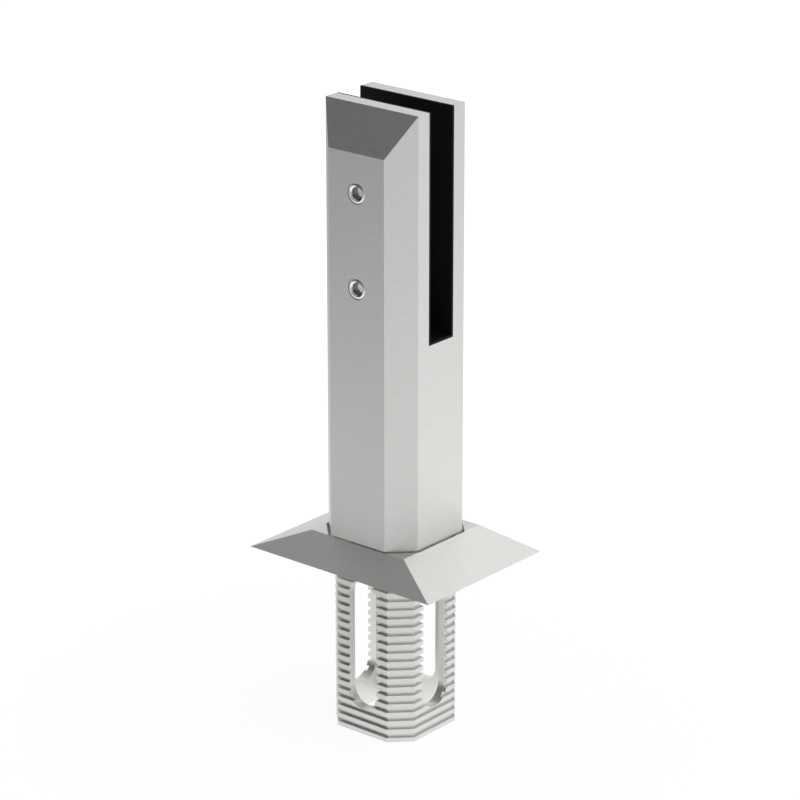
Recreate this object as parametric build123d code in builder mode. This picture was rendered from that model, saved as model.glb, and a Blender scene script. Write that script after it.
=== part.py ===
from build123d import *

import os
from math import radians, sqrt, tan

# Core-mounted glass spigot: a cast post that is grouted into a cored hole in the floor
# and clamps the lower edge of a frameless glass pane.
# Millimetres. X runs along the glass, -Y is the front, +Z is up.
# The origin is on the post's axis at the finished floor.

# Post, above the floor
post_width = 50.0
post_chamfer = 10.0
post_height = 201.0
post_bottom = 10.4
top_bevel_rise = 18.0
top_bevel_run = 10.0

# Slot for the glass, open at the top and at both sides
slot_width = 16.0
slot_depth = 100.5

# Core, the ribbed and slotted length that is buried in grout
core_width = 45.0
core_chamfer = 8.6
core_depth = 80.0
core_wall = 4.75
bore_roof = 13.0
bore_roof_taper = 6.0
groove_pitch = 4.0
groove_height = 2.0
groove_depth = 1.5
end_rib = 2.0
key_slot_width = 16.0
key_slot_length = 60.0
key_slot_above_end = 12.0

# Cover plate, pressed from sheet, that rests on the floor round the post, with a collar round its hole
cover_length = 100.0
cover_depth = 76.5
cover_height = 10.1
cover_sheet = 1.5
cover_gap_x = 1.0
cover_gap_y = 0.5
cover_gap_corner = 1.1
cover_hole_lap = 0.2
cover_collar_gap = 0.5

# Rubber pads that line the slot
pad_thickness = 1.0
pad_gap = 0.1

# Pressure plates, one in a pocket in each cheek
plate_width = 34.0
plate_height = 66.0
plate_thickness = 5.0
plate_corner = 5.0
plate_edge = 0.5
pocket_side_gap = 0.3
pocket_back_gap = 0.1

# Set screws, two through each cheek. Shank and hole are plain, at the thread's pitch diameter.
lower_screw_height = 24.0
screw_spacing = 41.4
screw_diameter = 9.2
screw_running_gap = 0.05
screw_set_back = 0.35
crown_diameter = 8.2
crown_rise = 1.0
tip_chamfer = 0.9
tip_rise = 0.6
tip_gap = 0.05
hex_across_flats = 5.0
hex_depth = 4.2
hex_mouth = 0.25
cone_half_angle = 60.0

# Places worked out from the sizes above
half_post = post_width / 2
half_slot = slot_width / 2
slot_floor = post_height - slot_depth
pad_face = half_slot - pad_thickness
pad_bottom = slot_floor + pad_thickness + pad_gap
plate_back = half_slot + plate_thickness
screw_heights = {
    "lower": slot_floor + lower_screw_height,
    "upper": slot_floor + lower_screw_height + screw_spacing,
}
plate_middle = (screw_heights["lower"] + screw_heights["upper"]) / 2
bore_top = slot_floor - bore_roof
core_top = post_bottom + core_depth
key_slot_middle = -core_depth + key_slot_above_end + key_slot_length / 2
groove_count = int((core_top - end_rib) // groove_pitch)
groove_bottoms = [-core_depth + end_rib + groove * groove_pitch for groove in range(groove_count)]
cover_hole_x = post_width + 2 * cover_gap_x
cover_hole_y = post_width + 2 * cover_gap_y
cover_hole_diagonal = post_width - post_chamfer + cover_gap_corner * sqrt(2)
cover_hole_chamfer = (cover_hole_x + cover_hole_y) / 2 - cover_hole_diagonal
screw_rim = half_post - screw_set_back
screw_tip = plate_back + tip_gap
screw_radius = screw_diameter / 2
crown_radius = crown_diameter / 2
tip_radius = screw_radius - tip_chamfer
socket_mouth = hex_across_flats / sqrt(3) + hex_mouth
cone_slope = tan(radians(cone_half_angle))
socket_top = screw_rim + crown_rise * (1 - (socket_mouth / crown_radius) ** 2)
socket_floor = screw_rim + crown_rise - hex_depth

# Which way each side's parts face
outward = {"front": -1, "rear": 1}

os.makedirs("parts", exist_ok=True)


def octagon(x_size, y_size, corner):
    """A rectangle with its four corners cut at 45 degrees."""
    with BuildSketch(mode=Mode.PRIVATE) as outline:
        Rectangle(x_size, y_size)
        chamfer(outline.vertices(), length=corner)
    return outline.sketch


def upright(y_place):
    """A plane parallel to the slot's walls at the given Y, facing -Y."""
    return Plane.XZ.offset(-y_place)


def save(piece, name):
    """Labels a finished piece and writes it."""
    piece.label = name
    export_step(piece, f"parts/{name}.step")


# The casting: octagonal post, glass slot, pockets, tapped holes and ribbed hollow core
with BuildPart() as spigot_body:
    with BuildSketch(Plane.XY.offset(post_bottom)):
        add(octagon(post_width, post_width, post_chamfer))
    extrude(amount=post_height - post_bottom)
    with BuildSketch(Plane.XY.offset(-core_depth)):
        add(octagon(core_width, core_width, core_chamfer))
    extrude(amount=core_top)

    # Bevels that run up to the two cheek tops
    with BuildSketch(Plane.YZ):
        with BuildLine():
            Polyline(
                (half_post, post_height - top_bevel_rise),
                (half_post, post_height),
                (half_post - top_bevel_run, post_height),
                close=True,
            )
        make_face()
        mirror(about=Plane.YZ)
    extrude(amount=half_post, both=True, mode=Mode.SUBTRACT)

    with BuildSketch(Plane.YZ):
        with Locations((0, post_height - slot_depth / 2)):
            Rectangle(slot_width, slot_depth)
    extrude(amount=half_post, both=True, mode=Mode.SUBTRACT)

    # Pockets for the pressure plates, sunk into both walls of the slot
    with BuildSketch(Plane.XZ):
        with Locations((0, plate_middle)):
            RectangleRounded(
                plate_width + 2 * pocket_side_gap,
                plate_height + 2 * pocket_side_gap,
                plate_corner + pocket_side_gap,
            )
    extrude(amount=plate_back + pocket_back_gap, both=True, mode=Mode.SUBTRACT)

    # Tapped holes through both cheeks
    with BuildSketch(Plane.XZ):
        with Locations(*[(0, height) for height in screw_heights.values()]):
            Circle(screw_diameter / 2 + screw_running_gap)
    extrude(amount=half_post, both=True, mode=Mode.SUBTRACT)

    # Octagonal bore, open at the buried end and closed by a tapered roof below the slot
    with BuildSketch(Plane.XY.offset(-core_depth)):
        core_outline = octagon(core_width, core_width, core_chamfer)
        offset(core_outline, amount=-core_wall, kind=Kind.INTERSECTION)
    extrude(amount=bore_top + core_depth, mode=Mode.SUBTRACT)
    roof_edges = spigot_body.edges(Select.LAST).group_by(Axis.Z)[-1]
    chamfer(roof_edges, length=bore_roof_taper)

    # Key slots through all four walls of the core
    for wall in (Plane.XZ, Plane.YZ):
        with BuildSketch(wall):
            with Locations((0, key_slot_middle)):
                SlotOverall(key_slot_length, key_slot_width, rotation=90)
        extrude(amount=core_width / 2, both=True, mode=Mode.SUBTRACT)

    # Grooves all round, which key the core into the grout
    with BuildSketch(*[Plane.XY.offset(bottom) for bottom in groove_bottoms]):
        rib_outline = octagon(core_width, core_width, core_chamfer)
        add(rib_outline)
        offset(rib_outline, amount=-groove_depth, kind=Kind.INTERSECTION, mode=Mode.SUBTRACT)
    extrude(amount=groove_height, mode=Mode.SUBTRACT)

save(spigot_body.part, "spigot_body")


# The cover plate: four flat slopes down to a knife edge, with an octagonal hole for the post
def cover_section(base, top):
    """One upright section of the cover plate, as a trapezium on the floor."""
    with BuildSketch(mode=Mode.PRIVATE) as section:
        with BuildLine():
            Polyline(
                (-base / 2, 0),
                (base / 2, 0),
                (top / 2, cover_height),
                (-top / 2, cover_height),
                close=True,
            )
        make_face()
    return section.sketch


# Its outer shape, solid
with BuildPart() as cover_block:
    with BuildSketch(Plane.XZ):
        add(cover_section(cover_length, cover_hole_x - 2 * cover_hole_lap))
    extrude(amount=cover_depth / 2, both=True)
    with BuildSketch(Plane.YZ):
        add(cover_section(cover_depth, cover_hole_y - 2 * cover_hole_lap))
    extrude(amount=cover_length / 2, both=True, mode=Mode.INTERSECT)

# Hollowed from below, with a collar that hangs round the hole to just above the floor
with BuildPart() as cover_plate:
    add(cover_block.part)
    underside = cover_plate.faces().sort_by(Axis.Z)[0]
    offset(amount=-cover_sheet, openings=underside, kind=Kind.INTERSECTION)
    with BuildSketch(Plane.XY.offset(cover_collar_gap)):
        hole_outline = octagon(cover_hole_x, cover_hole_y, cover_hole_chamfer)
        offset(hole_outline, amount=cover_sheet, kind=Kind.INTERSECTION)
    extrude(amount=cover_height - cover_collar_gap)
    add(cover_block.part, mode=Mode.INTERSECT)
    with BuildSketch():
        add(hole_outline)
    extrude(amount=cover_height, mode=Mode.SUBTRACT)

save(cover_plate.part, "cover_plate")


# The rubber pad on the slot's floor, which the glass stands on
with BuildPart() as bottom_pad:
    with BuildSketch(Plane.XY.offset(slot_floor)):
        Rectangle(post_width, slot_width)
    extrude(amount=pad_thickness)

save(bottom_pad.part, "bottom_pad")


# Both sides hold the same pieces, facing each other across the glass
for side, sign in outward.items():
    # Rubber pad over the whole wall of the slot
    with BuildPart() as side_pad:
        with BuildSketch(upright(sign * pad_face)):
            with Locations((0, (pad_bottom + post_height) / 2)):
                Rectangle(post_width, post_height - pad_bottom)
        extrude(amount=-sign * pad_thickness)

    save(side_pad.part, f"{side}_pad")

    # Pressure plate behind the pad
    with BuildPart() as pressure_plate:
        with BuildSketch(upright(sign * half_slot)):
            with Locations((0, plate_middle)):
                RectangleRounded(plate_width, plate_height, plate_corner)
        extrude(amount=-sign * plate_thickness)
        back_face = pressure_plate.faces().sort_by(Axis.Y)[-1 if sign > 0 else 0]
        chamfer(back_face.edges(), length=plate_edge)

    save(pressure_plate.part, f"{side}_pressure_plate")

    # Set screws with a crowned hexagon-socket end and a rounded tip that can rock on the plate
    for level, height in screw_heights.items():
        screw_axis = Axis((0, 0, height), (0, 1, 0))
        with BuildPart() as set_screw:
            with BuildSketch(Plane.YZ):
                with BuildLine():
                    crown = TangentArc(
                        (sign * (screw_rim + crown_rise), height),
                        (sign * screw_rim, height + crown_radius),
                        tangent=(0, 1),
                    )
                    point = TangentArc(
                        (sign * screw_tip, height),
                        (sign * (screw_tip + tip_rise), height + tip_radius),
                        tangent=(0, 1),
                    )
                    Polyline(
                        crown @ 1,
                        (sign * (screw_rim - screw_radius + crown_radius), height + screw_radius),
                        (sign * (screw_tip + tip_rise + tip_chamfer), height + screw_radius),
                        point @ 1,
                    )
                    Line(crown @ 0, point @ 0)
                make_face()
            revolve(axis=screw_axis)

            # Hexagon socket, points up and down, with a countersunk mouth and a drilled bottom
            with BuildSketch(upright(sign * socket_floor)):
                with Locations((0, height)):
                    RegularPolygon(hex_across_flats / 2, 6, major_radius=False, rotation=30)
            extrude(amount=-sign * hex_depth, mode=Mode.SUBTRACT)
            with BuildSketch(Plane.YZ):
                with BuildLine():
                    Polyline(
                        (sign * (socket_top + socket_mouth), height),
                        (sign * (socket_top + socket_mouth), height + socket_mouth),
                        (sign * socket_top, height + socket_mouth),
                        (sign * (socket_top - socket_mouth / cone_slope), height),
                        close=True,
                    )
                make_face()
                with BuildLine():
                    Polyline(
                        (sign * socket_floor, height),
                        (sign * socket_floor, height + hex_across_flats / 2),
                        (sign * (socket_floor - hex_across_flats / 2 / cone_slope), height),
                        close=True,
                    )
                make_face()
            revolve(axis=screw_axis, mode=Mode.SUBTRACT)

        save(set_screw.part, f"{side}_{level}_screw")
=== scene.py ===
import math

import bmesh
import bpy
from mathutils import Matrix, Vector


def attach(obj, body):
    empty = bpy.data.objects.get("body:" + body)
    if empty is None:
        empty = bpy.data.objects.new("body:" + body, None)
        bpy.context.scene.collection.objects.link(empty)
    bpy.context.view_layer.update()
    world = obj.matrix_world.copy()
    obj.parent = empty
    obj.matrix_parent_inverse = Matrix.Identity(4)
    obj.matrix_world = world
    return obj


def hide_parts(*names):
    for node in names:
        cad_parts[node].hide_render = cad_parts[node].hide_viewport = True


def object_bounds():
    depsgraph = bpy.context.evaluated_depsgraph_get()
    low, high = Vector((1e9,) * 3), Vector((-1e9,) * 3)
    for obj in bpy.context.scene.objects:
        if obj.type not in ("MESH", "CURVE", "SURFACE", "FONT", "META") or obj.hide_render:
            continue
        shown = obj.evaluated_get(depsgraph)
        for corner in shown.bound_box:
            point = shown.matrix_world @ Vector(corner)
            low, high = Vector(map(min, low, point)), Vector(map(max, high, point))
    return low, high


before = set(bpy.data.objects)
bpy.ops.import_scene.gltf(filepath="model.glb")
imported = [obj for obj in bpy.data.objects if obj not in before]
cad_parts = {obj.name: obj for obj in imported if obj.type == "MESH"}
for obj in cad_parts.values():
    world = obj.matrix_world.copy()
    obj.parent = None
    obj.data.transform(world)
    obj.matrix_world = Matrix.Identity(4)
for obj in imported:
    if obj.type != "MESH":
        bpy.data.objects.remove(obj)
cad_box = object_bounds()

# One unit is a metre, so a real size in millimetres is multiplied by this.
MM = 0.001

# Camera, solved from the corners of the post, the cover plate and the core in the photograph
CAMERA_AZIMUTH = 39.95
CAMERA_ELEVATION = 20.05
CAMERA_DISTANCE = 1488.3 * MM
CAMERA_TARGET = Vector((1.21, 1.71, 68.36)) * MM
SENSOR_WIDTH = 36.0
FOCAL_PIXELS = 3491.2
IMAGE_PIXELS = 800

# Core below the floor, as in the solid: a square with its corners cut off, and the distances of both kinds of
# flats from its axis
CORE_WIDTH = 45 * MM
CORE_CHAMFER = 8.6 * MM
CORE_HALF_WIDTH = CORE_WIDTH / 2
CORE_CORNER = (CORE_WIDTH - CORE_CHAMFER) * math.sqrt(0.5)
# What lies less than this below the flats is the crest of a rib.
CREST_EDGE = 0.05 * MM
# The crests' colour as a share of the grooves', a painted shade that dims them, and how much less rough the
# core is than the post
CREST_PAINTED_SHADE = 0.85
CORE_SMOOTHER = 0.08

# Brushed steel: streak lengths and the broad streaks' pitch, as multiples of the fine streaks' pitch
FINE_LENGTH = 12
BROAD_LENGTH = 40
BROAD_PITCH = 4
FINE_DETAIL = 3.0
BROAD_DETAIL = 2.0
BROAD_SHARE = 0.2
STREAK_RAGGEDNESS = 0.6
STREAK_ROUGHNESS_SPREAD = 0.04
# Nearly all of a noise lies between these values.
NOISE_RANGE = {"From_Min": 0.3, "From_Max": 0.7}
# A level face has no level direction of its own. This small vector lays its brush lines along X.
LEVEL_FACE_LINES = (0.001, 0, 0)

# Rubber: its grain, and the roughness and shine of its skin
RUBBER_GRAIN = 0.6 * MM
RUBBER_GRAIN_DETAIL = 4.0
RUBBER_GRAIN_DEPTH = 0.04 * MM
RUBBER_GRAIN_STRENGTH = 0.6
RUBBER_ROUGHNESS = {"To_Min": 0.55, "To_Max": 0.75}
RUBBER_IOR = 1.5
RUBBER_SHINE = 0.22

# Polished steel: its faint turning marks
MARK_SIZE = 0.8 * MM
MARK_DETAIL = 3.0
MARK_ROUGHNESS_SPREAD = 0.03

# Set screws, M10, in millimetres. A point of the outline is a radius and a distance from the post's middle. The
# outline runs from the socket's mouth over the crown, the shank and its thread to the tip.
SCREW_MOUTH = (3.5, 25.04)
CROWN_EDGE = (4.2, 24.88)
SHANK_RADIUS = 4.6
THREAD_START = 23.7
THREAD_END = 15.2
SCREW_OUTLINE = [
    SCREW_MOUTH, (3.85, 25.0), CROWN_EDGE, (SHANK_RADIUS, 24.5), (SHANK_RADIUS, THREAD_START),
    (SHANK_RADIUS, THREAD_END), (3.7, 13.65), (2.0, 13.22), (0.0, 13.05),
]
THREAD_LINE = SCREW_OUTLINE.index((SHANK_RADIUS, THREAD_START))
THREAD_PITCH = 1.25
THREAD_DEPTH = 0.55
THREAD_ROWS = 79
SCREW_STEPS = 72
CROWN_ROUNDING = 0.15
CROWN_SEGMENTS = 3
ROUND_PROFILE = 0.5
SCREW_SIDES = {"front": -1, "rear": 1}
SCREW_HEIGHTS = {"upper": 165.9, "lower": 124.5}
# Points closer than this are one point, and heights closer than the other are the same.
SAME_POINT = 0.001
SAME_HEIGHT = 0.01
SHARP_ANGLE = math.radians(28)

# The screws' hexagon socket
HEX_ACROSS_FLATS = 5.0
MOUTH_HALF_ANGLE = math.radians(50)
WALL_TOP = 24.3
SOCKET_FLOOR = 22.6
DRILL_RADIUS = 0.3
DRILL_HALF_ANGLE = math.radians(60)
# Where the painted shade on the socket's wall fades into the bright mouth and the bright floor
MOUTH_FADE = {"From_Min": WALL_TOP * MM, "From_Max": (WALL_TOP + 0.3) * MM, "To_Min": 1.0, "To_Max": 0.0}
FLOOR_FADE = {"From_Min": (SOCKET_FLOOR + 0.02) * MM, "From_Max": (SOCKET_FLOOR + 0.1) * MM}

# Shares and levels of the studio. Each changes smoothly, from the start to the end of its range.
SMOOTH = {"interpolation_type": "SMOOTHSTEP"}
WHITE = (1, 1, 1, 1)
# Round the object, by the Y, Z and X of the direction
BACKDROP = {"From_Min": -0.2, "From_Max": 0.9}
CEILING = {"From_Min": 0.4, "From_Max": 1.0, "To_Min": 0.02, "To_Max": 0.64}
WINDOW = {"From_Min": 0.0, "From_Max": 1.0, "To_Min": 0.0, "To_Max": 0.86}
# On the floor, by metres from its middle, by metres toward the rear, and by metres from a shaded spot
FLOOR_RADIUS = 3.0
FLOOR_SIDES = 96
FLOOR_GAP = 0.1 * MM
POOL = {"From_Min": 0.0, "From_Max": 1.0, "To_Min": 1.2, "To_Max": 0.47}
REARWARD = (0.5, 0.85, 0)
REAR_FLOOR = {"From_Min": -0.3, "From_Max": 0.5, "To_Min": 0.0, "To_Max": 0.23}
SHADED_SPOT = (-0.08, -0.1, 0)
SPOT_SHADE = {"From_Min": 0.0, "From_Max": 0.13, "To_Min": 0.82, "To_Max": 1.0}
# The floor as the camera sees it, by metres from its middle, and the grey that takes the object's shadow
SEEN_FLOOR = {"From_Min": 0.1, "From_Max": 0.5, "To_Min": 0.9, "To_Max": 1.0}
SHADOW_GREY = (0.18, 0.18, 0.18, 1)

# Lamps, in metres and watts: place, the point that each faces, diameter and power
LAMPS = {
    "rear_lamp": ((0.5, 1.3, 1.2), (0, 0, 0.05), 0.7, 1.5),
    "left_lamp": ((-0.9, 1.0, 1.2), (0, 0, 0.05), 0.7, 0.7),
    "left_panel": ((-1.4, -0.45, 0.15), (0, 0, 0.12), 0.45, 0.6),
}


def linear(hex_colour):
    """An sRGB hex colour as linear red, green, blue and alpha."""
    channels = [int(hex_colour[i:i + 2], 16) / 255 for i in (0, 2, 4)]
    return [c / 12.92 if c <= 0.04045 else ((c + 0.055) / 1.055) ** 2.4 for c in channels] + [1.0]


def node(tree, kind, settings=None, **inputs):
    """Adds a shader node. Settings are its own properties. An input is a value, a socket to link from, or a
    node whose first output is linked. Its name is its socket's name, or _ and the socket's number."""
    made = tree.nodes.new(kind)
    for name, value in (settings or {}).items():
        setattr(made, name, value)
    for name, value in inputs.items():
        key = int(name[1:]) if name[0] == "_" else name.replace("_", " ")
        source = value.outputs[0] if isinstance(value, bpy.types.Node) else value
        if isinstance(source, bpy.types.NodeSocket):
            tree.links.new(source, made.inputs[key])
        else:
            made.inputs[key].default_value = source
    return made


def new_material(name):
    """An empty node material, and its tree."""
    material = bpy.data.materials.new(name)
    material.use_nodes = True
    material.node_tree.nodes.clear()
    return material, material.node_tree


def surface_frame(tree):
    """Directions on a brushed surface: along the brush lines, which are level, and across them."""
    normal = node(tree, "ShaderNodeNewGeometry").outputs["True Normal"]
    level = node(tree, "ShaderNodeVectorMath", {"operation": "CROSS_PRODUCT"}, _0=(0, 0, 1), _1=normal)
    tilted = node(tree, "ShaderNodeVectorMath", {"operation": "ADD"}, _0=level, _1=LEVEL_FACE_LINES)
    along = node(tree, "ShaderNodeVectorMath", {"operation": "NORMALIZE"}, _0=tilted)
    across = node(tree, "ShaderNodeVectorMath", {"operation": "CROSS_PRODUCT"}, _0=normal, _1=along)
    return along, across


def core_parts(tree, place):
    """Shares of one on the core, below the floor, and on the crests of its ribs."""
    away = node(tree, "ShaderNodeVectorMath", {"operation": "ABSOLUTE"}, _0=place)
    x, y, _ = node(tree, "ShaderNodeSeparateXYZ", Vector=away).outputs
    height = node(tree, "ShaderNodeSeparateXYZ", Vector=place).outputs["Z"]
    flats = node(tree, "ShaderNodeMath", {"operation": "MAXIMUM"}, _0=x, _1=y)
    total = node(tree, "ShaderNodeMath", {"operation": "ADD"}, _0=x, _1=y)
    corners = node(
        tree, "ShaderNodeMath", {"operation": "MULTIPLY_ADD"}, _0=total, _1=math.sqrt(0.5),
        _2=CORE_HALF_WIDTH - CORE_CORNER,
    )
    reach = node(tree, "ShaderNodeMath", {"operation": "MAXIMUM"}, _0=flats, _1=corners)
    outer = node(
        tree, "ShaderNodeMath", {"operation": "GREATER_THAN"}, _0=reach, _1=CORE_HALF_WIDTH - CREST_EDGE
    )
    core = node(tree, "ShaderNodeMath", {"operation": "LESS_THAN"}, _0=height, _1=0.0)
    crest = node(tree, "ShaderNodeMath", {"operation": "MULTIPLY"}, _0=core, _1=outer)
    return core, crest


def brushed_steel(name, colour, roughness, anisotropy, streak_mm, streak_depth_mm, shade, parts=None):
    """Stainless steel rubbed with a fine belt. Level hairlines, drawn in tone, roughness and height, make it
    satin, and smear reflections up and down. The belt doesn't reach the core, which is a little smoother. The
    crests of its ribs get a painted shade, a shade greyer than the grooves."""
    material, tree = new_material(name)
    place = node(tree, "ShaderNodeTexCoord").outputs["Object"]
    along, across = surface_frame(tree)
    u = node(tree, "ShaderNodeVectorMath", {"operation": "DOT_PRODUCT"}, _0=place, _1=along).outputs["Value"]
    v = node(tree, "ShaderNodeVectorMath", {"operation": "DOT_PRODUCT"}, _0=place, _1=across).outputs["Value"]
    on_face = node(tree, "ShaderNodeCombineXYZ", X=u, Y=v)

    def streaks(length_mm, pitch_mm, detail):
        """Noise stretched along the brush lines."""
        stretched = node(
            tree, "ShaderNodeMapping", Vector=on_face, Scale=(1 / (length_mm * MM), 1 / (pitch_mm * MM), 1.0)
        )
        return node(
            tree, "ShaderNodeTexNoise", Vector=stretched, Scale=1.0, Detail=detail, Roughness=STREAK_RAGGEDNESS
        ).outputs["Fac"]

    fine = streaks(streak_mm * FINE_LENGTH, streak_mm, FINE_DETAIL)
    broad = streaks(streak_mm * BROAD_LENGTH, streak_mm * BROAD_PITCH, BROAD_DETAIL)
    mixed = node(tree, "ShaderNodeMix", {"data_type": "FLOAT"}, Factor=BROAD_SHARE, _2=fine, _3=broad)
    streak_tone = node(
        tree, "ShaderNodeMapRange", Value=mixed, **NOISE_RANGE, To_Min=1 - shade, To_Max=1 + shade
    )
    core, crest = parts(tree, place) if parts else (0.0, 0.0)
    # Painted shade: the crests of the core's ribs are darkened.
    crest_painted_shade = node(
        tree, "ShaderNodeMath", {"operation": "MULTIPLY_ADD"}, _0=crest, _1=CREST_PAINTED_SHADE - 1, _2=1.0
    )
    tone = node(tree, "ShaderNodeMath", {"operation": "MULTIPLY"}, _0=streak_tone, _1=crest_painted_shade)
    base = node(
        tree, "ShaderNodeMix", {"data_type": "RGBA", "blend_type": "MULTIPLY", "clamp_result": False},
        Factor=1.0, _6=linear(colour), _7=tone,
    ).outputs[2]
    streak_roughness = node(
        tree, "ShaderNodeMapRange", Value=fine, **NOISE_RANGE,
        To_Min=roughness - STREAK_ROUGHNESS_SPREAD, To_Max=roughness + STREAK_ROUGHNESS_SPREAD,
    )
    rough = node(
        tree, "ShaderNodeMath", {"operation": "MULTIPLY_ADD"}, _0=core, _1=-CORE_SMOOTHER, _2=streak_roughness
    )
    bump = node(tree, "ShaderNodeBump", Strength=1.0, Distance=streak_depth_mm * MM, Height=mixed)
    shader = node(
        tree, "ShaderNodeBsdfPrincipled", Base_Color=base, Metallic=1.0, Roughness=rough,
        Anisotropic=anisotropy, Normal=bump, Tangent=across,
    )
    node(tree, "ShaderNodeOutputMaterial", Surface=shader)
    return material


def cut_rubber(name, colour):
    """Black rubber sheet. A fine bumpy grain with uneven roughness gives it a matt, faintly leathery skin."""
    material, tree = new_material(name)
    place = node(tree, "ShaderNodeTexCoord").outputs["Object"]
    grain = node(
        tree, "ShaderNodeTexNoise", Vector=place, Scale=1 / RUBBER_GRAIN, Detail=RUBBER_GRAIN_DETAIL
    ).outputs["Fac"]
    bump = node(
        tree, "ShaderNodeBump", Strength=RUBBER_GRAIN_STRENGTH, Distance=RUBBER_GRAIN_DEPTH, Height=grain
    )
    rough = node(tree, "ShaderNodeMapRange", Value=grain, **RUBBER_ROUGHNESS)
    shader = node(
        tree, "ShaderNodeBsdfPrincipled", Base_Color=linear(colour), Roughness=rough, IOR=RUBBER_IOR,
        Specular_IOR_Level=RUBBER_SHINE, Normal=bump,
    )
    node(tree, "ShaderNodeOutputMaterial", Surface=shader)
    return material


def polished_steel(name, colour, socket_shade_colour, roughness):
    """Bright stainless steel, tumbled smooth, with faint turning marks in its roughness. The socket's wall, and
    the shank and thread at the same depth, get a painted shade in a greyer colour, so the wall looks dark
    between the bright rim and the socket's floor."""
    material, tree = new_material(name)
    place = node(tree, "ShaderNodeTexCoord").outputs["Object"]
    marks = node(
        tree, "ShaderNodeTexNoise", Vector=place, Scale=1 / MARK_SIZE, Detail=MARK_DETAIL
    ).outputs["Fac"]
    rough = node(
        tree, "ShaderNodeMapRange", Value=marks,
        To_Min=roughness - MARK_ROUGHNESS_SPREAD, To_Max=roughness + MARK_ROUGHNESS_SPREAD,
    )
    # Painted shade: a greyer colour on the socket's wall, between its mouth and its floor.
    depth = node(tree, "ShaderNodeSeparateXYZ", Vector=place).outputs["Y"]
    distance = node(tree, "ShaderNodeMath", {"operation": "ABSOLUTE"}, _0=depth)
    below_mouth = node(tree, "ShaderNodeMapRange", SMOOTH, Value=distance, **MOUTH_FADE)
    above_floor = node(tree, "ShaderNodeMapRange", SMOOTH, Value=distance, **FLOOR_FADE)
    painted_socket_shade = node(tree, "ShaderNodeMath", {"operation": "MULTIPLY"}, _0=below_mouth, _1=above_floor)
    base = node(
        tree, "ShaderNodeMix", {"data_type": "RGBA"}, Factor=painted_socket_shade, _6=linear(colour), _7=linear(socket_shade_colour)
    ).outputs[2]
    shader = node(tree, "ShaderNodeBsdfPrincipled", Base_Color=base, Metallic=1.0, Roughness=rough)
    node(tree, "ShaderNodeOutputMaterial", Surface=shader)
    return material


def dress(node_names, material):
    """Gives CAD nodes their material."""
    for name in node_names:
        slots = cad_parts[name].data.materials
        slots.clear()
        slots.append(material)


duplex = brushed_steel(
    "brushed_duplex_steel", "DBDAD8", roughness=0.44, anisotropy=0.7, streak_mm=0.45, streak_depth_mm=0.06,
    shade=0.055, parts=core_parts,
)
sheet_steel = brushed_steel(
    "brushed_cover_steel", "D7D6D4", roughness=0.40, anisotropy=0.7, streak_mm=0.45, streak_depth_mm=0.09,
    shade=0.07,
)
plate_steel = brushed_steel(
    "mill_finish_plate_steel", "BDBBB8", roughness=0.5, anisotropy=0.3, streak_mm=0.4, streak_depth_mm=0.004,
    shade=0.05,
)
rubber = cut_rubber("matt_black_rubber", "0A0A0A")
# The second colour is the painted shade on the socket's wall.
screw_steel = polished_steel("polished_screw_steel", "E9EBEE", "7C7E81", roughness=0.26)


def hexagon_radius(angle):
    """From the middle to the side of the hexagon socket, which has a point at the top."""
    sixth = math.pi / 3
    return HEX_ACROSS_FLATS / 2 / math.cos((angle + sixth / 2) % sixth - sixth / 2)


def thread_depth(angle, distance):
    """How deep the thread is cut at a place on the shank. It runs out at both ends."""
    turn = (distance / THREAD_PITCH + angle / (2 * math.pi)) % 1
    run_out = min(1, (THREAD_START - distance) / THREAD_PITCH, (distance - THREAD_END) / THREAD_PITCH)
    return THREAD_DEPTH * max(0, run_out) * (1 - abs(2 * turn - 1))


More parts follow.
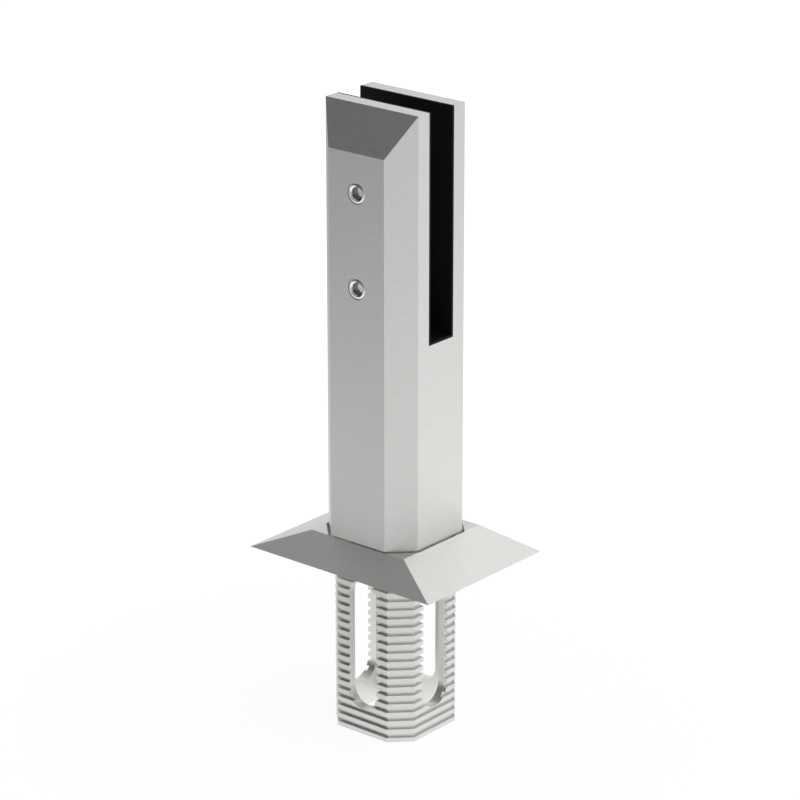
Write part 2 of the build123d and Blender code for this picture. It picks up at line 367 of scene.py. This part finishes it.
def set_screw(name, sign, height):
    """A set screw with a helical thread, a smooth crowned end and a broached hexagon socket."""
    bm = bmesh.new()
    points = [bm.verts.new((radius, distance, 0)) for radius, distance in SCREW_OUTLINE]
    lines = [bm.edges.new(pair) for pair in zip(points, points[1:])]
    bmesh.ops.subdivide_edges(bm, edges=[lines[THREAD_LINE]], cuts=THREAD_ROWS)
    bmesh.ops.spin(
        bm, geom=bm.verts[:] + bm.edges[:], axis=(0, 1, 0), cent=(0, 0, 0), angle=2 * math.pi,
        steps=SCREW_STEPS, use_merge=True,
    )
    bmesh.ops.remove_doubles(bm, verts=bm.verts, dist=SAME_POINT)
    for vert in bm.verts:
        angle = math.atan2(vert.co.z, vert.co.x)
        if THREAD_END < vert.co.y < THREAD_START:
            radius = SHANK_RADIUS - thread_depth(angle, vert.co.y)
            vert.co = (radius * math.cos(angle), vert.co.y, radius * math.sin(angle))

    crown = [e for e in bm.edges if all(abs(v.co.y - CROWN_EDGE[1]) < SAME_HEIGHT for v in e.verts)]
    bmesh.ops.bevel(
        bm, geom=crown, offset=CROWN_ROUNDING, offset_type="OFFSET", segments=CROWN_SEGMENTS,
        profile=ROUND_PROFILE, affect="EDGES", material=-1,
    )

    # The socket: countersunk mouth, hexagonal wall, flat floor and drilled middle
    mouth_radius, mouth_distance = SCREW_MOUTH
    cone_tip = mouth_distance - mouth_radius / math.tan(MOUTH_HALF_ANGLE)
    drill_tip = SOCKET_FLOOR - DRILL_RADIUS / math.tan(DRILL_HALF_ANGLE)
    stages = [
        lambda angle: (hexagon_radius(angle), cone_tip + hexagon_radius(angle) / math.tan(MOUTH_HALF_ANGLE)),
        lambda angle: (hexagon_radius(angle), SOCKET_FLOOR),
        lambda angle: (DRILL_RADIUS, SOCKET_FLOOR),
        lambda angle: (0.0, drill_tip),
    ]
    ring = [e for e in bm.edges if e.is_boundary]
    for stage in stages:
        grown = bmesh.ops.extrude_edge_only(bm, edges=ring)["geom"]
        ring = [e for e in grown if isinstance(e, bmesh.types.BMEdge) and e.is_boundary]
        for vert in {v for e in ring for v in e.verts}:
            angle = math.atan2(vert.co.z, vert.co.x)
            radius, distance = stage(angle)
            vert.co = (radius * math.cos(angle), distance, radius * math.sin(angle))
    bmesh.ops.remove_doubles(bm, verts=bm.verts, dist=SAME_POINT)

    bmesh.ops.scale(bm, vec=(MM, sign * MM, MM), verts=bm.verts)
    bmesh.ops.translate(bm, vec=(0, 0, height * MM), verts=bm.verts)
    bmesh.ops.recalc_face_normals(bm, faces=bm.faces)
    mesh = bpy.data.meshes.new(name)
    bm.to_mesh(mesh)
    bm.free()
    mesh.shade_smooth()
    mesh.set_sharp_from_angle(angle=SHARP_ANGLE)
    mesh.materials.append(screw_steel)
    screw = bpy.data.objects.new(name, mesh)
    bpy.context.scene.collection.objects.link(screw)
    return screw


for side, sign in SCREW_SIDES.items():
    for level, height in SCREW_HEIGHTS.items():
        cad_node = f"{side}_{level}_screw"
        screw = set_screw(f"{side}_{level}_set_screw", sign, height)
        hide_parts(cad_node)
        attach(screw, cad_node)

dress(["spigot_body"], duplex)
dress(["cover_plate"], sheet_steel)
dress(["front_pressure_plate", "rear_pressure_plate"], plate_steel)
dress(["front_pad", "rear_pad", "bottom_pad"], rubber)
dress([f"{side}_{level}_screw" for side in SCREW_SIDES for level in SCREW_HEIGHTS], screw_steel)


def studio_world():
    """White for the camera. Steel shows that white behind the object. In front it shows a dim room with a pale
    ceiling and a window on the right."""
    world = bpy.data.worlds.new("studio")
    bpy.context.scene.world = world
    world.use_nodes = True
    tree = world.node_tree
    tree.nodes.clear()
    rays = node(tree, "ShaderNodeLightPath").outputs
    direction = node(tree, "ShaderNodeTexCoord").outputs["Generated"]
    toward = node(tree, "ShaderNodeSeparateXYZ", Vector=direction).outputs
    behind = node(tree, "ShaderNodeMapRange", SMOOTH, Value=toward["Y"], **BACKDROP)
    ceiling = node(tree, "ShaderNodeMapRange", SMOOTH, Value=toward["Z"], **CEILING)
    window = node(tree, "ShaderNodeMapRange", SMOOTH, Value=toward["X"], **WINDOW)
    level = node(tree, "ShaderNodeMath", {"operation": "ADD"}, _0=ceiling, _1=window)
    seen = node(
        tree, "ShaderNodeMath", {"operation": "MAXIMUM"}, _0=rays["Is Camera Ray"],
        _1=rays["Is Transmission Ray"],
    )
    mirrored = node(tree, "ShaderNodeMath", {"operation": "MULTIPLY"}, _0=rays["Is Glossy Ray"], _1=behind)
    share = node(tree, "ShaderNodeMath", {"operation": "MAXIMUM"}, _0=seen, _1=mirrored)
    room = node(tree, "ShaderNodeBackground", Color=WHITE, Strength=level)
    white = node(tree, "ShaderNodeBackground", Color=WHITE, Strength=1.0)
    both = node(tree, "ShaderNodeMixShader", _0=share, _1=room, _2=white)
    node(tree, "ShaderNodeOutputWorld", Surface=both)


def floor():
    """A floor at the foot of the core. The camera sees it pale near the object and white away from it, with the
    object's soft shadow. Steel sees it bright near the object, dimmer away from it, and shaded in front of the
    foot."""
    bpy.ops.mesh.primitive_circle_add(
        vertices=FLOOR_SIDES, radius=FLOOR_RADIUS, fill_type="NGON", location=(0, 0, cad_box[0].z - FLOOR_GAP)
    )
    ground = bpy.context.object
    ground.name = "floor"
    material, tree = new_material("pale_studio_floor")
    rays = node(tree, "ShaderNodeLightPath").outputs
    place = node(tree, "ShaderNodeTexCoord").outputs["Object"]
    distance = node(tree, "ShaderNodeVectorMath", {"operation": "LENGTH"}, _0=place).outputs["Value"]
    rearward = node(
        tree, "ShaderNodeVectorMath", {"operation": "DOT_PRODUCT"}, _0=place, _1=REARWARD
    ).outputs["Value"]
    beside = node(
        tree, "ShaderNodeVectorMath", {"operation": "DISTANCE"}, _0=place, _1=SHADED_SPOT
    ).outputs["Value"]
    pool = node(tree, "ShaderNodeMapRange", SMOOTH, Value=distance, **POOL)
    far = node(tree, "ShaderNodeMapRange", SMOOTH, Value=rearward, **REAR_FLOOR)
    shade = node(tree, "ShaderNodeMapRange", SMOOTH, Value=beside, **SPOT_SHADE)
    unshaded = node(tree, "ShaderNodeMath", {"operation": "ADD"}, _0=pool, _1=far)
    level = node(tree, "ShaderNodeMath", {"operation": "MULTIPLY"}, _0=unshaded, _1=shade)
    mirrored = node(tree, "ShaderNodeEmission", Color=WHITE, Strength=level)
    paleness = node(tree, "ShaderNodeMapRange", SMOOTH, Value=distance, **SEEN_FLOOR)
    pale = node(tree, "ShaderNodeEmission", Color=WHITE, Strength=paleness)
    shaded = node(tree, "ShaderNodeBsdfDiffuse", Color=SHADOW_GREY)
    seen = node(tree, "ShaderNodeAddShader", _0=pale, _1=shaded)
    both = node(tree, "ShaderNodeMixShader", _0=rays["Is Camera Ray"], _1=mirrored, _2=seen)
    node(tree, "ShaderNodeOutputMaterial", Surface=both)
    ground.data.materials.append(material)


def area_light(name, place, target, size, power):
    """A large soft lamp that faces a point."""
    lamp = bpy.data.lights.new(name, "AREA")
    lamp.shape = "DISK"
    lamp.size = size
    lamp.energy = power
    holder = bpy.data.objects.new(name, lamp)
    bpy.context.scene.collection.objects.link(holder)
    holder.location = place
    holder.rotation_mode = "QUATERNION"
    holder.rotation_quaternion = (Vector(target) - Vector(place)).to_track_quat("-Z", "Y")


def camera():
    """The camera at the photograph's view."""
    azimuth = math.radians(CAMERA_AZIMUTH)
    elevation = math.radians(CAMERA_ELEVATION)
    back = Vector(
        (math.sin(azimuth) * math.cos(elevation), -math.cos(azimuth) * math.cos(elevation), math.sin(elevation))
    )
    data = bpy.data.cameras.new("camera")
    data.sensor_width = SENSOR_WIDTH
    data.lens = FOCAL_PIXELS / IMAGE_PIXELS * SENSOR_WIDTH
    holder = bpy.data.objects.new("camera", data)
    bpy.context.scene.collection.objects.link(holder)
    holder.location = CAMERA_TARGET + back * CAMERA_DISTANCE
    holder.rotation_mode = "QUATERNION"
    holder.rotation_quaternion = (-back).to_track_quat("-Z", "Y")
    bpy.context.scene.camera = holder


studio_world()
floor()
for name, (place, target, size, power) in LAMPS.items():
    area_light(name, place, target, size, power)
camera()
bpy.context.scene.view_settings.view_transform = "Standard"
